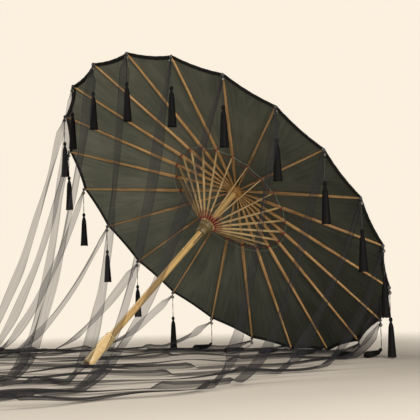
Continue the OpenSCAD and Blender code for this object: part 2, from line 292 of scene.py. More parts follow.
def mesh_piece(name, verts, faces, uvs=None):
    """A piece made from points in metres and faces, with a UV for each point if given."""
    mesh = bpy.data.meshes.new(name)
    mesh.from_pydata([tuple(v) for v in verts], [], faces)
    mesh.polygons.foreach_set("use_smooth", [True] * len(mesh.polygons))
    if uvs:
        layer = mesh.uv_layers.new(name="weave")
        for loop in mesh.loops:
            layer.data[loop.index].uv = uvs[loop.vertex_index]
    obj = bpy.data.objects.new(name, mesh)
    bpy.context.collection.objects.link(obj)
    return obj


def rings_joined(rings, sides):
    """Faces between one ring of points and the next, and the two that close the ends."""
    faces = []
    for k in range(rings - 1):
        for s in range(sides):
            a, b = k * sides + s, k * sides + (s + 1) % sides
            faces.append((a, b, b + sides, a + sides))
    faces.append(tuple(reversed(range(sides))))
    faces.append(tuple((rings - 1) * sides + s for s in range(sides)))
    return faces


def tube(line, radius, sides=5):
    """Points and faces of a closed round tube along a line of points."""
    verts, normal = [], None
    for k, p in enumerate(line):
        t = (line[min(k + 1, len(line) - 1)] - line[max(k - 1, 0)]).normalized()
        if normal is None:
            normal = t.orthogonal()
        normal = (normal - normal.dot(t) * t).normalized()
        across = t.cross(normal)
        for s in range(sides):
            a = s * math.tau / sides
            verts.append(p + radius * (math.cos(a) * normal + math.sin(a) * across))
    return verts, rings_joined(len(line), sides)


def joined(parts):
    """Several lots of points and faces as one."""
    verts, faces = [], []
    for v, f in parts:
        faces += [tuple(k + len(verts) for k in face) for face in f]
        verts += v
    return verts, faces


def spun(name, roughness, scale, dark, light):
    """Dyed thread or cord: two tones of one colour where its plies turn. In the dyed threads they
    are uneven dye; in the black cord the lighter tone is a painted highlight.
    """
    made, tree, shader = finish_named(name, Roughness=roughness)
    spot = node(tree, "TexCoord")
    ply = node(tree, "TexNoise", {"Vector": spot.outputs["Object"], "Scale": scale})
    mixed = node(tree, "Mix", {
        0: ply.outputs["Fac"], 6: rgb(dark), 7: rgb(light)}, data_type="RGBA")
    tree.links.new(mixed.outputs[2], shader.inputs["Base Color"])
    return made


# black silk, twisted hard: dark, with a faint gleam on plies about 1.1 mm long, a painted
# highlight in its lighter tone
black_cord = spun("black_silk_cord", 0.55, 900, "#0c0d10", "#24262b")

cord_pieces = {}
for i in range(1, rib_count + 1):
    tip, line = tip_at(i), hang_line(i)
    lead = [tip.lerp(line[0], t / 6) for t in range(6)]
    if not hangs_free(i):
        for k, p in enumerate(lead):
            p.z = max(1.6, lerp(tip.z + 2, bead_r + bead_rest, smooth(k / 3)))
    middle = along(lead + line[:cord_len + bead_r + cord_in_tassel], strand_step)
    strands, twist = [], random.Random(i).uniform(0, math.tau)
    for phase in (0, math.pi):
        strand = []
        for k, p in enumerate(middle):
            t = (middle[min(k + 1, len(middle) - 1)] - middle[max(k - 1, 0)]).normalized()
            u = t.orthogonal().normalized()
            # the strands stand further apart about the bead than below it
            spread = 0.5 + 0.5 * math.sin(math.pi * min(1, k / 20)) ** 2
            a = twist + phase + k * strand_turn
            strand.append((p + spread * (math.cos(a) * u + math.sin(a) * t.cross(u))) / 1000)
        for p in strand:
            p.z = max(p.z, 0.0006)
        strands.append(tube(strand, strand_r / 1000))
    piece = mesh_piece(f"tassel_cord_{i:02d}", *joined(strands))
    dress(piece, black_cord)
    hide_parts("tassel_cords")
    cord_pieces[i] = (piece, [p / 1000 for p in middle])

# ---- Beads
# A smoky glass bead, drilled through, above each tassel. It is fire polished soda
# glass, so it has a small bright highlight and is grey and dim to look through.
smoky_glass = finish_named(
    "smoky_glass_bead", Base_Color=rgb("#8c8b84"), Roughness=0.12, IOR=1.5,
    Transmission_Weight=0.6)[0]
for i in range(1, rib_count + 1):
    bpy.ops.object.select_all(action="DESELECT")
    bpy.ops.mesh.primitive_uv_sphere_add(
        segments=20, ring_count=12, radius=bead_r / 1000, location=bead_at(i) / 1000)
    bead = bpy.context.object
    bead.name = f"bead_{i:02d}"
    bpy.ops.object.transform_apply(location=True, rotation=True, scale=True)
    bpy.ops.object.shade_smooth()
    dress(bead, smoky_glass)
    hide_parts("beads")
    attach(bead, f"rib_{i:02d}")

# ---- Tassels
# Black silk thread, folded over the cord, bound under a small round head, and
# cut straight at the end of its skirt.
# distance from the top, and the radius there: round head, bound neck, spreading skirt
tassel_shape = (
    (0, 1.6), (1.5, 3.0), (4, 3.8), (6.5, 3.6), (8.5, 2.6), (9.5, 2.3), (10.5, 2.5),
    (12, 3.2), (18, 4.7), (28, 5.5), (46, 6.4), (60, 7.2), (72, 8.0), (80, 8.5))
thread_count = 22
thread_rise = 0.28


def skirt_radius(d):
    """The tassel's radius at distance d from its top."""
    for (d0, r0), (d1, r1) in zip(tassel_shape, tassel_shape[1:]):
        if d <= d1:
            return lerp(r0, r1, (d - d0) / (d1 - d0))
    return tassel_shape[-1][1]


def tassel(i, line):
    """Tassel i along a line of points, in mm."""
    draw = random.Random(i)
    sides = thread_count * 2
    trim = [draw.uniform(-1.5, 0.3) for _ in range(sides)]
    loose = [draw.uniform(-0.35, 0.45) for _ in range(sides)]
    verts, faces, normal = [], [], None
    # close together over the head, then every 4 mm
    stops = [*range(0, 13), *range(14, tassel_len, 4), tassel_len]
    for d in stops:
        k = min(d, len(line) - 1)
        t = (line[min(k + 2, len(line) - 1)] - line[max(k - 2, 0)]).normalized()
        if normal is None:
            normal = t.orthogonal()
        normal = (normal - normal.dot(t) * t).normalized()
        other = t.cross(normal)
        for s in range(sides):
            a = s * math.tau / sides
            ridge = (thread_rise if s % 2 else -thread_rise) * (smooth((d - 10) / 12) + 0.25)
            r = skirt_radius(d) + ridge + loose[s] * smooth((d - 25) / 50)
            # the binding draws the neck in
            r *= 0.93 if d in (9, 10) else 1
            p = line[k] + r * (math.cos(a) * normal + math.sin(a) * other)
            p += t * (trim[s] if d == tassel_len else 0)
            p.z = max(0.5, lerp(line[k].z, p.z, 0.9) if lies(i) else p.z)
            verts.append(p / 1000)
    rows = len(stops)
    for k in range(rows - 1):
        for s in range(sides):
            a, b = k * sides + s, k * sides + (s + 1) % sides
            faces.append((a, a + sides, b + sides, b))
    t = (line[-1] - line[-3]).normalized()
    verts.append((line[0] - (line[1] - line[0]).normalized() * 0.4) / 1000)
    verts.append((line[min(tassel_len, len(line) - 1)] - t * 2.5) / 1000)
    top, inner = len(verts) - 2, len(verts) - 1
    last = (rows - 1) * sides
    for s in range(sides):
        faces.append((top, s, (s + 1) % sides))
        faces.append((inner, last + (s + 1) % sides, last + s))
    return mesh_piece(f"tassel_{i:02d}", verts, faces)


# loose silk floss, dyed black: it swallows the light, with fine lines down it. The
# thread is 0.3 mm, drawn at 1 mm so that it shows
black_silk, tree, shader = finish_named(
    "black_silk_thread", Roughness=0.75, Specular_IOR_Level=0.15)
spot = node(tree, "TexCoord")
fine = node(tree, "Mapping", {"Vector": spot.outputs["Object"], "Scale": (1000, 1000, 60)})
lint = node(tree, "TexNoise", {"Vector": fine.outputs["Vector"], "Scale": 1.0, "Detail": 2.0})
mixed = node(tree, "Mix", {
    0: lint.outputs["Fac"], 6: rgb("#020203"), 7: rgb("#0a0a0c")}, data_type="RGBA")
tree.links.new(mixed.outputs[2], shader.inputs["Base Color"])
raised = node(tree, "Bump", {
    "Height": lint.outputs["Fac"], "Strength": 0.5, "Distance": 0.0005})
tree.links.new(raised.outputs["Normal"], shader.inputs["Normal"])

for i in range(1, rib_count + 1):
    line = hang_line(i)[cord_len + bead_r:]
    piece = tassel(i, line)
    dress(piece, black_silk)
    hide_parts("tassels")
    cord_piece, middle = cord_pieces[i]
    # folded, the rib would swing its tassel into the shaft. Here cord and tassel only ride their
    # rib
    out = polar(1000, rib_angle(i)) - rim_centre
    swing = math.radians(joints[f"rib_{i:02d}_hinge"]["range_deg"][1])
    for soft in (piece, cord_piece):
        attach(soft, f"rib_{i:02d}")
        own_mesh(soft)

# ---- Shaft
# One straight length of bamboo. Its two nodes are scraped down but still show, and
# rings are turned into it where the runner rests when the umbrella is open.
shaft_r = 7
shaft_top, shaft_bottom = 98, -439
ring_top, ring_bottom = 66, -24
ring_pitch = 2.6
ring_deep = 0.45
shaft_nodes = (-118, -292)
# points nearer than this, in metres, are one point
weld = 0.00001


def active(obj):
    """Leaves only this object selected and active."""
    bpy.ops.object.select_all(action="DESELECT")
    obj.select_set(True)
    bpy.context.view_layer.objects.active = obj


def turned(name, outline, steps=64):
    """A piece turned about the shaft: outline is its (radius, height) points in mm."""
    mesh = bpy.data.meshes.new(name)
    edges = [(k, k + 1) for k in range(len(outline) - 1)]
    mesh.from_pydata([place(r, 0, z) for r, z in outline], edges, [])
    obj = bpy.data.objects.new(name, mesh)
    bpy.context.collection.objects.link(obj)
    active(obj)
    bpy.ops.object.mode_set(mode="EDIT")
    bpy.ops.mesh.select_all(action="SELECT")
    bpy.ops.mesh.spin(steps=steps, angle=math.tau, center=rim_centre, axis=shaft_up)
    bpy.ops.mesh.select_all(action="SELECT")
    bpy.ops.mesh.remove_doubles(threshold=weld)
    bpy.ops.mesh.normals_make_consistent(inside=False)
    bpy.ops.object.mode_set(mode="OBJECT")
    bpy.ops.object.shade_smooth_by_angle(angle=math.radians(50))
    return obj


outline = [(0, shaft_bottom), (shaft_r, shaft_bottom)]
for z in sorted(shaft_nodes):
    outline += [
        (shaft_r - 0.05, z - 9), (shaft_r - 0.15, z - 3), (shaft_r + 0.35, z - 1),
        (shaft_r + 0.3, z + 0.5), (shaft_r - 0.3, z + 1.6), (shaft_r, z + 6)]
z = ring_bottom
while z < ring_top:
    outline += [
        (shaft_r, z), (shaft_r, z + 0.6 * ring_pitch),
        (shaft_r - ring_deep, z + 0.7 * ring_pitch), (shaft_r - ring_deep, z + 0.9 * ring_pitch)]
    z += ring_pitch
outline += [(shaft_r, ring_top + 1), (shaft_r, shaft_top), (0, shaft_top)]
shaft = turned("bamboo_shaft", outline)


def upright(tree):
    """Object coordinates turned to stand about the shaft, in metres."""
    spot = node(tree, "TexCoord")
    stood = node(tree, "Mapping", {
        "Vector": spot.outputs["Object"], "Location": rim_centre,
        "Rotation": UPRIGHT.to_euler()}, vector_type="TEXTURE")
    return stood.outputs["Vector"]


def bamboo(name, where, scale, light, dark, roughness, coat=0.0):
    """Bamboo or turned wood: pale and dark fibre along the piece, in low ridges."""
    made, tree, shader = finish_named(
        name, Roughness=roughness, Coat_Weight=coat, Coat_Roughness=0.3)
    fibre = node(tree, "Mapping", {"Vector": where(tree), "Scale": scale})
    streak = node(tree, "TexNoise", {
        "Vector": fibre.outputs["Vector"], "Scale": 1.0, "Detail": 4.0, "Roughness": 0.6})
    # patches of tone are five or six times as broad as the fibres
    broad = node(tree, "Mapping", {"Vector": where(tree), "Scale": [s * 0.18 for s in scale]})
    patch = node(tree, "TexNoise", {
        "Vector": broad.outputs["Vector"], "Scale": 1.0, "Detail": 2.0})
    both = node(tree, "Math", {
        0: streak.outputs["Fac"], 1: patch.outputs["Fac"]}, operation="ADD")
    spread = node(tree, "MapRange", {
        "Value": both.outputs["Value"], "From Min": 0.7, "From Max": 1.3})
    mixed = node(tree, "Mix", {
        0: spread.outputs["Result"], 6: rgb(dark), 7: rgb(light)}, data_type="RGBA")
    raised = node(tree, "Bump", {
        "Height": streak.outputs["Fac"], "Strength": 0.35, "Distance": 0.0003})
    tree.links.new(mixed.outputs[2], shader.inputs["Base Color"])
    tree.links.new(raised.outputs["Normal"], shader.inputs["Normal"])
    return made


# scraped and polished by hand: straw yellow with a low gleam. Its fibre bundles are
# about 1 mm wide, and run for 70 mm or more
shaft_bamboo = bamboo(
    "scraped_bamboo_shaft", upright, (900, 900, 14), "#c8aa72", "#967846", 0.4, 0.2)
dress(shaft, shaft_bamboo)
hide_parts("shaft")
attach(shaft, "root")

# ---- Catch
# A tongue of spring steel in a slot of the shaft, which holds the runner up, and the
# two wires on which the ribs and stretchers turn. All are drawn steel, left bare: a
# grey metal with a dull, streaky gleam.
spring_steel, tree, shader = finish_named("spring_steel", Metallic=1.0, Roughness=0.35)
spot = node(tree, "TexCoord")
drawn = node(tree, "TexNoise", {"Vector": spot.outputs["Object"], "Scale": 400.0})
mixed = node(tree, "Mix", {
    0: drawn.outputs["Fac"], 6: rgb("#7d7a74"), 7: rgb("#b9b5ad")}, data_type="RGBA")
tree.links.new(mixed.outputs[2], shader.inputs["Base Color"])
for name in ("catch_spring", "notch_wire", "runner_wire"):
    frame["nodes"][name].data.materials.clear()
    frame["nodes"][name].data.materials.append(spring_steel)

# ---- Grip and end peg
# Turned hardwood, oiled: a stepped collar, a barrel with fine turned rings, a groove
# and a plain end. A dark peg closes the hole that the lathe's centre left.
grip_end, grip_len = 455, 80
plain_r, barrel_r = 10.9, 12.0
barrel_rings, barrel_pitch = 18, 1.7
barrel_fall = 0.012
grip_top = -grip_end + grip_len
outline = [
    (0, -grip_end), (plain_r - 2.2, -grip_end), (plain_r - 1.0, -grip_end + 0.8),
    (plain_r - 0.3, -grip_end + 3), (plain_r, -grip_end + 12), (plain_r, -grip_end + 31),
    (plain_r - 0.5, -grip_end + 33), (plain_r - 1.6, -grip_end + 34.2),
    (plain_r - 1.6, -grip_end + 36), (plain_r - 0.2, -grip_end + 37.2)]
for k in range(barrel_rings):
    z = -grip_end + 38.5 + barrel_pitch * k
    r = barrel_r + 0.1 - barrel_fall * (k - 9) ** 2
    outline += [(r, z), (r, z + 0.9), (r - 0.3, z + 1.3)]
outline += [
    (barrel_r - 1.6, grip_top - 10), (barrel_r - 2.0, grip_top - 8.6),
    (barrel_r - 0.7, grip_top - 7.4), (barrel_r - 0.6, grip_top - 4.5),
    (barrel_r - 2.0, grip_top - 2), (shaft_r + 0.8, grip_top), (0, grip_top)]
grip = turned("turned_grip", outline)
# pale close-grained wood, rubbed with oil: warm cream, with a thin even shine
oiled_wood = bamboo(
    "oiled_turned_wood", upright, (260, 260, 30), "#e6d2a6", "#bd9f66", 0.42, 0.3)
dress(grip, oiled_wood)
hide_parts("grip")
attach(grip, "root")
# a stained peg, left as turned: brown and nearly matt
dark_wood = bamboo("dark_peg_wood", upright, (500, 500, 80), "#7a4d2c", "#4c2d18", 0.45)
frame["nodes"]["end_knob"].data.materials.clear()
frame["nodes"]["end_knob"].data.materials.append(dark_wood)

# ---- Hub and cap
# The hub is turned from one piece of wood and sawn with a slot for each rib. A
# turned cap with a finial closes the canopy above it.


def eased(node_name, name, width):
    """A copy of a CAD node with its sharp edges eased, which stands for the node."""
    obj = bpy.data.objects.new(name, frame["nodes"][node_name].data.copy())
    bpy.context.collection.objects.link(obj)
    active(obj)
    bpy.ops.object.mode_set(mode="EDIT")
    bpy.ops.mesh.select_all(action="SELECT")
    bpy.ops.mesh.remove_doubles(threshold=weld)
    bpy.ops.mesh.dissolve_limited(angle_limit=math.radians(0.5))
    bpy.ops.object.mode_set(mode="OBJECT")
    ease = obj.modifiers.new("ease", "BEVEL")
    ease.width = width / 1000
    ease.segments = 2
    ease.limit_method = "ANGLE"
    ease.angle_limit = math.radians(40)
    bpy.ops.object.modifier_apply(modifier="ease")
    bpy.ops.object.shade_smooth_by_angle(angle=math.radians(35))
    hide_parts(node_name)
    return obj


hub = eased("notch", "rib_hub", 0.25)
# hardwood, turned and left bare: honey brown and dull, its grain along the shaft
hub_wood = bamboo("turned_hub_wood", upright, (350, 350, 25), "#b58a4c", "#86602c", 0.5)
dress(hub, hub_wood)
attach(hub, "root")

cap_base = crown_h + 4
# the cap's radius and height above its base, from its bore to the finial's top
cap_outline = (
    (17.8, 7.2), (17.8, 0.2), (24.5, 0.1), (26, 1), (26.3, 2.2), (25.4, 3.8), (23, 6),
    (20.2, 8.3), (16.5, 10.8), (12.5, 13), (9, 15), (7, 17.2), (5.9, 19.4), (5.6, 21.5),
    (6.2, 23.6), (7.3, 25.6), (8.3, 28), (8.7, 30.4), (8.2, 33), (6.9, 35.3), (5, 37.2),
    (2.6, 38.5), (0, 39))
cap = turned("top_cap_finial", [(r, cap_base + z) for r, z in cap_outline])
# the same wood, stained and oiled: redder, with a low shine
cap_wood = bamboo("turned_cap_wood", upright, (300, 300, 30), "#9c6a38", "#6d4520", 0.4, 0.3)
dress(cap, cap_wood)
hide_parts("top_cap")
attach(cap, "root")

# ---- Runner
# Turned wood, with a comb of slots for the stretchers and a neck to push on. Dark
# red thread is wound round the top of the comb.
runner = eased("runner", "sliding_runner", 0.25)
# handled for years: browned and dull. The slots of its comb are painted near black between its
# teeth, as painted shade
runner_wood = bamboo("turned_runner_wood", upright, (350, 350, 25), "#75663f", "#42371f", 0.5)
comb_from, comb_to = -0.0395, -0.0385
tree = runner_wood.node_tree
shader = tree.nodes["Principled BSDF"]
wood = shader.inputs["Base Color"].links[0].from_socket
about = node(tree, "SeparateXYZ", {0: upright(tree)})
turn = node(tree, "Math", {0: about.outputs["Y"], 1: about.outputs["X"]}, operation="ARCTAN2")
turn = node(tree, "Math", {0: turn.outputs["Value"], 1: rib_count}, operation="MULTIPLY")
slot = node(tree, "Math", {0: turn.outputs["Value"]}, operation="COSINE")
slot = node(tree, "MapRange", {
    "Value": slot.outputs["Value"], "From Min": 0.1, "From Max": 0.4})
comb = node(tree, "MapRange", {
    "Value": about.outputs["Z"], "From Min": comb_from, "From Max": comb_to})
cut = node(tree, "Math", {
    0: slot.outputs["Result"], 1: comb.outputs["Result"]}, operation="MULTIPLY")
# painted shade: near black mixed in at each slot of the comb, between its teeth
mixed = node(tree, "Mix", {
    0: cut.outputs["Value"], 6: wood, 7: rgb("#191510")}, data_type="RGBA")
tree.links.new(mixed.outputs[2], shader.inputs["Base Color"])
dress(runner, runner_wood)
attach(runner, "runner")

# cotton thread, dyed dark red: dull, and blotched where the dye took unevenly
red_thread = spun("dark_red_thread", 0.6, 700, "#4c090e", "#92181f")

drum_top = -27
winding_count, winding_points = 7, 96
winding_r, winding_spread, winding_rise = 15.3, 0.5, 0.7
winding_stray = 0.3
windings = []
for k in range(winding_count):
    ring_z = drum_top + 0.5 + winding_rise * k
    ring_r = winding_r + winding_spread * k
    winding = []
    for n in range(winding_points + 1):
        a = n * math.tau / winding_points
        winding.append(polar(
            ring_r + winding_stray * math.sin(9 * a), a,
            ring_z + winding_stray * math.cos(7 * a + k)))
    windings.append(tube(winding, 0.00045))
wound = mesh_piece("runner_red_thread", *joined(windings))
dress(wound, red_thread)
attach(wound, "runner")

# ---- Ribs
# Split from one culm of bamboo, so the fibres run alike in all of them; their pale
# node is not drawn. They are narrow at the hub, slotted for the stretcher, and drilled at the tip.
joint_r = 138
rib_slope = math.atan((crown_h - 1) / (rim_r - 4 - hub_ring_r))
rib_depth, rib_tip_depth, rib_taper_x = 6, 4.2, 160
# share of its full width that a rib keeps, inside and outside its joint
rib_share, rib_outer_share = 0.82, 0.58
# distance outside the joint at which the thinning starts, and how long it takes
thin_from, thin_over = 14, 60
thin_depth = 0.35


def rib_top(r):
    """The height of the ribs' upper face at radius r."""
    tapered = max(0, min(1, (r - rib_taper_x) / (rim_r - rib_taper_x)))
    depth = lerp(rib_depth, rib_tip_depth, tapered)
    return crown_h - (r - hub_ring_r) * math.tan(rib_slope) + depth / 2 / math.cos(rib_slope)


def map_fibres(obj, i):
    """A UV map in metres, with v along rib or stretcher i and u across it."""
    back = UPRIGHT.inverted()
    out = Vector((math.cos(rib_angle(i)), math.sin(rib_angle(i)), 0))
    turn = Vector((-out.y, out.x, 0))
    layer = obj.data.uv_layers.new(name="fibre")
    # each is cut from its own place in the culm, and its sides show more of the grain
    for loop in obj.data.loops:
        p = back @ obj.data.vertices[loop.vertex_index].co
        layer.data[loop.index].uv = (p.dot(turn) + p.z * 0.35 + 0.37 * i, p.dot(out) + 0.21 * i)


def slimmed(obj, i, share, outer_share):
    """Scrapes rib or stretcher i to a share of its width, and thins it past the joint."""
    out = polar(1000, rib_angle(i)) - rim_centre
    turn = shaft_up.cross(out)
    for vertex in obj.data.vertices:
        from_shaft = vertex.co - rim_centre
        r = from_shaft.dot(out)
        outer = smooth((r * 1000 - joint_r - thin_from) / thin_over)
        vertex.co -= turn * from_shaft.dot(turn) * (1 - lerp(share, outer_share, outer))
        below = from_shaft.dot(shaft_up) - rib_top(r * 1000) / 1000
        vertex.co -= shaft_up * below * thin_depth * outer


def by_fibre(tree):
    """The piece's own fibre map."""
    return node(tree, "UVMap", uv_map="fibre").outputs["UV"]


# split and planed, not polished: tan and dull, with fibre bundles 0.8 mm wide that run
# for 45 mm and more
rib_bamboo = bamboo(
    "split_bamboo_rib", by_fibre, (1300, 22, 1), "#c6a06d", "#836239", 0.5, 0.05)
for i in range(1, rib_count + 1):
    rib = eased(f"rib_{i:02d}", f"bamboo_rib_{i:02d}", 0.3)
    slimmed(rib, i, rib_share, rib_outer_share)
    map_fibres(rib, i)
    dress(rib, rib_bamboo)
    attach(rib, f"rib_{i:02d}")

# ---- Stretchers
# Thinner split bamboo from the runner to the ribs, with the pin in its upper end.
# Red thread is wound round 17 mm of its foot, just above the runner.
runner_ring_r, runner_ring_z = 12, -35
joint_z = crown_h - (joint_r - hub_ring_r) * math.tan(rib_slope)
stretcher_share = 0.85
# the coil of thread: its turns and the points in each, then, in metres, where it
# starts, its length, and its half width and half depth round the stretcher
coil_turns, coil_points = 12, 10
coil_from, coil_len = 0.0065, 0.017
coil_w, coil_d = 0.00165, 0.0023
# from the culm's inner side, so a little greyer than the ribs
stretcher_bamboo = bamboo(
    "split_bamboo_stretcher", by_fibre, (1300, 26, 1), "#bda377", "#86704a", 0.5, 0.05)
for i in range(1, rib_count + 1):
    stretcher = eased(f"stretcher_{i:02d}", f"bamboo_stretcher_{i:02d}", 0.2)
    slimmed(stretcher, i, stretcher_share, stretcher_share)
    map_fibres(stretcher, i)
    dress(stretcher, stretcher_bamboo)
    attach(stretcher, f"stretcher_{i:02d}")
    foot = polar(runner_ring_r, rib_angle(i), runner_ring_z)
    head = polar(joint_r, rib_angle(i), joint_z)
    run = (head - foot).normalized()
    sideways = shaft_up.cross(polar(1, rib_angle(i)) - rim_centre).normalized()
    depth = run.cross(sideways)
    coil, last_point = [], coil_turns * coil_points
    for k in range(last_point + 1):
        a = k * math.tau / coil_points
        # the first turns are the loosest, and the last lie the furthest apart
        loose = 1 + 0.25 * smooth((40 - k) / 40)
        coil.append(foot + run * (coil_from + coil_len * (k / last_point) ** 1.4)
            + loose * (coil_w * math.cos(a) * sideways + coil_d * math.sin(a) * depth))
    wrap = mesh_piece(f"stretcher_red_thread_{i:02d}", *tube(coil, 0.0004))
    dress(wrap, red_thread)
    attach(wrap, f"stretcher_{i:02d}")

# ---- Canopy
# Oiled dark olive silk, cut in one gore for each rib and pasted along it. It is drawn
# tight from hub to rim and dips a little between ribs. Each gore rides its rib.
skin_t = 0.4
hem_w = 5
scallop = 5
cloth_inner = 18.2
gore_rows, gore_half = 26, 7
# height of the cloth over the ribs, and how far it dips half way between them
on_ribs, dip = 0.35, 6


def cloth_point(i, s, t, lift=0.0, out=0.0):
    """The cloth at rib i: s from hub to rim, t from -0.5 to 0.5, half way to each next rib."""
    b = abs(t)
    square = math.cos((b - 0.5) * pitch) / math.cos(pitch / 2)
    edge = (rim_r - hem_w) / square - 4 * scallop * b * (1 - b)
    r = lerp(cloth_inner, edge, s)
    z = rib_top(r * square) + on_ribs + lift - dip * s * b * (1 - b)
    return polar(r + out, rib_angle(i) + t * pitch, z)


# silk dyed dark olive, brushed with nut oil and dried. The oil fills the weave, which
# leaves it stiff, dull and streaked. A lighter grey green is painted in on its high side, as
# painted light, and its low side stays darker, as painted shade
oiled_silk, tree, shader = finish_named(
    "oiled_olive_silk", Roughness=0.7, Specular_IOR_Level=0.1)
cloth = node(tree, "UVMap", uv_map="weave")
# the weave is 0.3 mm, drawn at 3 mm so that it shows
weave_pitch = 0.003
threads = []
for direction in ("X", "Y"):
    threads.append(node(tree, "TexWave", {
        "Vector": cloth.outputs["UV"], "Scale": math.tau / 20 / weave_pitch,
        "Distortion": 1.0, "Detail": 2.0, "Detail Scale": 3.0}, bands_direction=direction))
# slubs 6 mm wide and 110 mm long, and stains as wide as a hand
slub_map = node(tree, "Mapping", {"Vector": cloth.outputs["UV"], "Scale": (160, 9, 1)})
slub = node(tree, "TexNoise", {"Vector": slub_map.outputs["Vector"], "Scale": 1.0, "Detail": 5.0})
stain = node(tree, "TexNoise", {"Vector": cloth.outputs["UV"], "Scale": 9.0, "Detail": 3.0})
woven_in = node(tree, "Math", {
    0: threads[0].outputs["Fac"], 1: threads[1].outputs["Fac"]}, operation="MULTIPLY")
shade = node(tree, "Math", {0: slub.outputs["Fac"], 1: stain.outputs["Fac"]}, operation="ADD")
shade = node(tree, "Math", {
    0: woven_in.outputs["Value"], 1: 0.3, 2: shade.outputs["Value"]}, operation="MULTIPLY_ADD")
shade = node(tree, "MapRange", {
    "Value": shade.outputs["Value"], "From Min": 0.8, "From Max": 1.4})
# painted shade and painted light: a darker and a lighter copy of the silk, mixed by how high each
# point lies on the cloth
silk_in_painted_shade = node(tree, "Mix", {
    0: shade.outputs["Result"], 6: rgb("#2b2f2a"), 7: rgb("#3f433c")}, data_type="RGBA")
silk_in_painted_light = node(tree, "Mix", {
    0: shade.outputs["Result"], 6: rgb("#5c6258"), 7: rgb("#7c8074")}, data_type="RGBA")
painted_light = node(tree, "Attribute", attribute_name="painted_light")
silk = node(tree, "Mix", {
    0: painted_light.outputs["Fac"], 6: silk_in_painted_shade.outputs[2], 7: silk_in_painted_light.outputs[2]}, data_type="RGBA")
raised = node(tree, "Bump", {
    "Height": woven_in.outputs["Value"], "Strength": 0.12, "Distance": 0.0004})
tree.links.new(silk.outputs[2], shader.inputs["Base Color"])
tree.links.new(raised.outputs["Normal"], shader.inputs["Normal"])


def fold_with_rib(obj, i):
    """Rides rib i."""
    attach(obj, f"rib_{i:02d}")
    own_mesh(obj)


# the way in which the painted light rises across the cloth, and the distance over which it does,
# in metres
painted_lit_side, painted_light_span = Vector((-0.35, 0, 0.94)), 0.75
for i in range(1, rib_count + 1):
    verts, uvs, faces = [], [], []
    cols = 2 * gore_half + 1
    for row in range(gore_rows + 1):
        for col in range(cols):
            s, t = row / gore_rows, (col - gore_half) / (2 * gore_half)
            verts.append(cloth_point(i, s, t))
            r = lerp(cloth_inner, rim_r, s) / 1000
            uvs.append((r * t * pitch + 0.11 * i, r))
    for row in range(gore_rows):
        for col in range(cols - 1):
            a = row * cols + col
            faces.append((a, a + cols, a + cols + 1, a + 1))
    gore = mesh_piece(f"canopy_gore_{i:02d}", verts, faces, uvs)
    active(gore)
    skin = gore.modifiers.new("skin", "SOLIDIFY")
    skin.thickness = skin_t / 1000
    skin.offset = 1
    bpy.ops.object.modifier_apply(modifier="skin")
    bpy.ops.object.shade_smooth_by_angle(angle=math.radians(40))
    # painted light: each point's share, which rises towards the cloth's high side and lightens its
    # silk
    painted_light_share = gore.data.attributes.new("painted_light", "FLOAT", "POINT")
    painted_light_share.data.foreach_set("value", [
        smooth(0.5 + (v.co - rim_centre).dot(painted_lit_side) / painted_light_span) for v in gore.data.vertices])
    dress(gore, oiled_silk)
    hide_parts("canopy")
    fold_with_rib(gore, i)

# ---- Rim binding
# Black tape folded over the edge of the silk and stitched, drawn in between the ribs.
# It is woven cotton, dyed: matt, rough and a little uneven.
binding_cloth, tree, shader = finish_named(
    "black_tape", Roughness=0.75, Specular_IOR_Level=0.25)
spot = node(tree, "TexCoord")
ply = node(tree, "TexNoise", {
    "Vector": spot.outputs["Object"], "Scale": 500.0, "Detail": 3.0})
mixed = node(tree, "Mix", {
    0: ply.outputs["Fac"], 6: rgb("#060606"), 7: rgb("#151513")}, data_type="RGBA")
raised = node(tree, "Bump", {
    "Height": ply.outputs["Fac"], "Strength": 0.5, "Distance": 0.0005})
tree.links.new(mixed.outputs[2], shader.inputs["Base Color"])
tree.links.new(raised.outputs["Normal"], shader.inputs["Normal"])
# the section of the folded tape: how far out from the silk's edge, and how high
tape = (
    (-3.6, 0.75), (-2.0, 1.0), (3.0, 1.05), (4.6, 0.6), (5.0, -0.2), (4.6, -1.0),
    (3.0, -1.5), (-2.0, -1.2), (-3.6, -0.65))
tape_steps, tape_pucker = 14, 0.25
for i in range(1, rib_count + 1):
    verts = []
    for k in range(tape_steps + 1):
        t = (k - tape_steps / 2) / tape_steps
        pucker = tape_pucker * math.sin(k * 2.4 + i)
        for out, lift in tape:
            verts.append(cloth_point(i, 1, t, lift + pucker * 0.3, out + pucker))
    faces = rings_joined(tape_steps + 1, len(tape))
    binding = mesh_piece(f"rim_binding_{i:02d}", verts, faces)
    active(binding)
    bpy.ops.object.mode_set(mode="EDIT")
    bpy.ops.mesh.select_all(action="SELECT")
    bpy.ops.mesh.normals_make_consistent(inside=False)
    bpy.ops.object.mode_set(mode="OBJECT")
    dress(binding, binding_cloth)
    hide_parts("hem")
    fold_with_rib(binding, i)

# ---- Decorative threads
# Pale blue-green and red thread, run from rib to rib just outside the joints and
# knotted round each, with a short red tie where rib and stretcher meet.
# cotton, dyed a blue green that has paled: dull and soft in tone
pale_thread = spun("pale_thread", 0.6, 700, "#6f7f7a", "#93a39c")
span_steps = 24
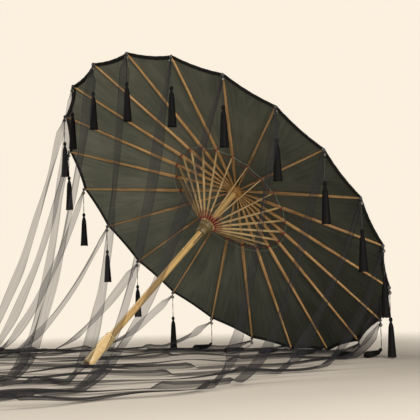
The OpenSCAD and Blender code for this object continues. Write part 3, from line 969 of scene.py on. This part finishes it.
# the tie at a joint: the points in a turn and in all, then, in metres, its length, and
# its half width and half depth round the rib
tie_turn, tie_points = 10, 60
tie_len, tie_w, tie_d = 0.005, 0.0027, 0.0034
for i in range(1, rib_count + 1):
    for name, ring_r, slack, thread in (
            ("pale", joint_r + 12, 3.0, pale_thread), ("red", joint_r + 4, 5.0, red_thread)):
        line = []
        for k in range(span_steps + 1):
            t = (k - span_steps / 2) / span_steps
            b = abs(t)
            square = math.cos((b - 0.5) * pitch) / math.cos(pitch / 2)
            under = rib_top(ring_r * square) - rib_depth - 1.0 - 2 * slack * b * (1 - b)
            line.append(polar(
                ring_r - slack * 4 * b * (1 - b), rib_angle(i) + t * pitch, under))
        # 0.4 mm thread, drawn at 0.7 mm so that it shows
        piece = mesh_piece(f"{name}_thread_{i:02d}", *tube(line, 0.00035))
        dress(piece, thread)
        if name == "pale":
            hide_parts("thread_ring")
        fold_with_rib(piece, i)
    out = polar(1, rib_angle(i)) - rim_centre
    sideways = shaft_up.cross(out).normalized()
    down_rib = (polar(100, rib_angle(i), -100 * math.tan(rib_slope)) - rim_centre).normalized()
    depth = down_rib.cross(sideways)
    start = polar(joint_r + 3, rib_angle(i), joint_z - 3 * math.tan(rib_slope))
    tie = []
    for k in range(tie_points + 1):
        a = k * math.tau / tie_turn
        tie.append(start + down_rib * (tie_len * k / tie_points)
            + tie_w * math.cos(a) * sideways + tie_d * math.sin(a) * depth)
    knot = mesh_piece(f"joint_tie_{i:02d}", *tube(tie, 0.0004))
    dress(knot, red_thread)
    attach(knot, f"rib_{i:02d}")

# ---- Ribbons
# One sheer dark organza ribbon is knotted to each rib tip. It is 24 mm wide and a
# metre long, falls in a curve to the floor, and trails away to the left.
ribbon_w, ribbon_len = 24, 1000
ribbon_steps = 96
ribbon_fall = 1.7
# past this far out from the middle of them all, in mm, they turn together, in degrees
gather_at, gather_turn = 430, 75
origin = Vector((58, 310, 0))
# degrees of a wave for each mm along a ribbon, and between one ribbon and the next
wave_rate, wave_shift = 1.7, 80
# distance covered while it hangs, in mm, then how far it veers forward in the air
# and on the floor, and how far its waves swing, in degrees
ribbon_lie = (
    (60, 10, 0, 14), (110, 5, -6, 16), (170, 0, -14, 14), (230, -5, -16, 14),
    (250, 10, -10, 16), (290, 30, 0, 16), (300, 45, 10, 14), (340, 60, 25, 14),
    (380, 62, 40, 12), (430, 82, 55, 10), (420, 76, 45, 14), (430, 82, 20, 16),
    (420, 72, 25, 14), (480, 60, 40, 14), (420, 72, 30, 16), (400, 62, 10, 16),
    (320, 52, 5, 18), (270, 52, 0, 18), (190, 45, 4, 16), (130, 46, 8, 16),
    (90, 35, 4, 14), (170, 24, 2, 16))
toward_front = heading_of(math.radians(320))
trail = heading_of(trail_dir)


def fall(u):
    """Share of its height that a ribbon still has at share u of its reach."""
    return max(0.0, 1 - u) ** ribbon_fall


def ribbon_line(i):
    """The middle of ribbon i, in mm, and how far along it each point is."""
    reach, veer, turn, wave = ribbon_lie[i - 1]
    tip = tip_at(i)
    drop = max(0.0, tip.z - 4)
    hang = sum(
        math.hypot(reach / 12, drop * (fall(k / 12) - fall((k + 1) / 12))) for k in range(12))
    step = (reach + ribbon_len - hang) / ribbon_steps
    pos, line = Vector((tip.x, tip.y, 0)), []
    for k in range(ribbon_steps + 1):
        d = k * step
        line.append(Vector((pos.x, pos.y, drop * fall(d / reach))))
        mid = d + step / 2
        angle = veer + (turn - veer) * smooth((mid - 0.6 * reach) / (0.8 * reach))
        swing = math.sin(math.radians(wave_rate * mid + wave_shift * i))
        angle += wave * swing * max(0, min(1, (mid - reach) / 100))
        if mid > reach:
            angle += (gather_turn - turn) * smooth(((pos - origin).dot(trail) - gather_at) / 200)
        pos = pos + step * heading_of(trail_dir + math.radians(angle))
    return line


# crisp open-weave silk, dyed charcoal: one layer is half see-through, and it is dense
# at its woven edges, in its knot, and where it lies in folds on the floor
organza, tree, shader = finish_named(
    "sheer_dark_organza", Roughness=0.7, Specular_IOR_Level=0.12)
cloth = node(tree, "UVMap", uv_map="weave")
stretch = node(tree, "Mapping", {"Vector": cloth.outputs["UV"], "Scale": (420, 7, 1)})
slub = node(tree, "TexNoise", {"Vector": stretch.outputs["Vector"], "Scale": 1.0, "Detail": 3.0})
mixed = node(tree, "Mix", {
    0: slub.outputs["Fac"], 6: rgb("#141417"), 7: rgb("#29292d")}, data_type="RGBA")
dense = node(tree, "Attribute", attribute_name="dense")
uneven = node(tree, "MapRange", {
    "Value": slub.outputs["Fac"], "From Min": 0.3, "From Max": 0.7,
    "To Min": -0.07, "To Max": 0.07})
cover = node(tree, "Math", {0: dense.outputs["Fac"], 1: uneven.outputs["Result"]}, operation="ADD")
tree.links.new(mixed.outputs[2], shader.inputs["Base Color"])
tree.links.new(cover.outputs["Value"], shader.inputs["Alpha"])

half_w = ribbon_w / 2
columns = (-1, -0.9, -0.66, -0.33, 0, 0.33, 0.66, 0.9, 1)
# how far the ribbon is rolled on itself in its knot, in radians from middle to edge
knot_roll = 2.9
for i in range(1, rib_count + 1):
    draw = random.Random(100 + i)
    swing = [draw.uniform(0, math.tau) for _ in range(6)]
    line = ribbon_line(i)
    tip = tip_at(i)
    verts, uvs, density, faces, last = [], [], [], [], None
    d = 0.0
    for k, p in enumerate(line):
        d += (p - line[k - 1]).length if k else 0
        t = (line[min(k + 1, ribbon_steps)] - line[max(k - 1, 0)]).normalized()
        # it hangs freely above 80 mm; on the floor it lies flat, or here and there on edge
        aloft = smooth(p.z / 80)
        stands = smooth((math.sin(d / 68 + swing[0]) - 0.45) / 0.4)
        twist = lerp(
            0.12 * math.sin(d / 83 + swing[0]) + 0.9 * stands,
            0.7 * math.sin(d / 120 + swing[2]), aloft)
        face = (toward_front * aloft + Vector((0, 0, 1)) * (1 - aloft)).normalized()
        face = (face - face.dot(t) * t).normalized()
        face = Matrix.Rotation(twist, 3, t) @ face
        across = t.cross(face)
        if last is not None and across.dot(last) < 0:
            across, face = -across, -face
        last = across
        roll = lerp(
            0.5 + 0.3 * math.sin(d / 64 + swing[3]) + 2.0 * stands,
            1.35 + 0.95 * math.sin(d / 95 + swing[5]) + 0.3 * math.sin(d / 31 + swing[1]), aloft)
        knotted = 1 - smooth((d - 2) / 34)
        roll = max(0.15, lerp(roll, knot_roll, knotted))
        width = half_w * lerp(1.0, 0.5, knotted)
        row = []
        for u in columns:
            a = roll * u
            row.append(p + across * (width * math.sin(a) / roll)
                + face * (width * (math.cos(a) - math.cos(0.6 * roll)) / roll))
        # each lies on those before it, in low humps
        hump = 4.5 * (1 + math.sin(d / 37 + swing[1])) * (
            0.5 + 0.5 * math.sin(d / 97 + swing[4])) * (1 - aloft)
        lift = max(0.0, 0.4 + 0.08 * i + hump - min(q.z for q in row))
        for u, q in zip(columns, row):
            q.z += lift
            verts.append(q / 1000)
            uvs.append((u * half_w / 1000 + 0.03 * i, d / 1000))
            edge = 0.12 if abs(u) > 0.8 else 0.0
            density.append(min(
                0.92, 0.45 + edge + 0.35 * knotted + (0.3 - 0.17 * stands) * (1 - aloft)))
    cols = len(columns)
    for k in range(ribbon_steps):
        for j in range(cols - 1):
            a = k * cols + j
            faces.append((a, a + 1, a + cols + 1, a + cols))
    ribbon = mesh_piece(f"ribbon_{i:02d}", verts, faces, uvs)
    shares = ribbon.data.attributes.new("dense", "FLOAT", "POINT")
    shares.data.foreach_set("value", density)
    dress(ribbon, organza)
    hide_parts("ribbons")
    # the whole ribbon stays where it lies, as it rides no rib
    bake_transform(ribbon)

# ---- Tip knots
# Where ribbon and cord are tied on, each rib tip has a small lump of organza. Drawn
# tight, its layers no longer let light through. The light that its creases catch is painted in as
# lighter grey patches, a painted highlight.
knot_cloth, tree, shader = finish_named("knotted_organza", Roughness=0.6)
spot = node(tree, "TexCoord")
crease_painted_highlight = node(tree, "TexNoise", {
    "Vector": spot.outputs["Object"], "Scale": 300.0, "Detail": 3.0})
# painted highlight: lighter grey where creases would catch the light
mixed = node(tree, "Mix", {
    0: crease_painted_highlight.outputs["Fac"], 6: rgb("#1d1e20"), 7: rgb("#4a4b50")}, data_type="RGBA")
tree.links.new(mixed.outputs[2], shader.inputs["Base Color"])
loop_points = 14
for i in range(1, rib_count + 1):
    draw = random.Random(300 + i)
    middle = polar(rim_r - 1.5, rib_angle(i), 0.6)
    loops = []
    for _ in range(3):
        axis = Vector((
            draw.uniform(-1, 1), draw.uniform(-1, 1), draw.uniform(-0.4, 0.4))).normalized()
        u = axis.orthogonal().normalized()
        v = axis.cross(u)
        size = draw.uniform(2.3, 3.0) / 1000
        ring = []
        for n in range(loop_points + 1):
            a = n * math.tau / loop_points
            ring.append(middle + size * (math.cos(a) * u + math.sin(a) * v))
        loops.append(tube(ring, 0.0014, 6))
    knot = mesh_piece(f"tip_knot_{i:02d}", *joined(loops))
    for vertex in knot.data.vertices:
        vertex.co.z = max(vertex.co.z, 0.0005)
    dress(knot, knot_cloth)
    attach(knot, f"rib_{i:02d}")
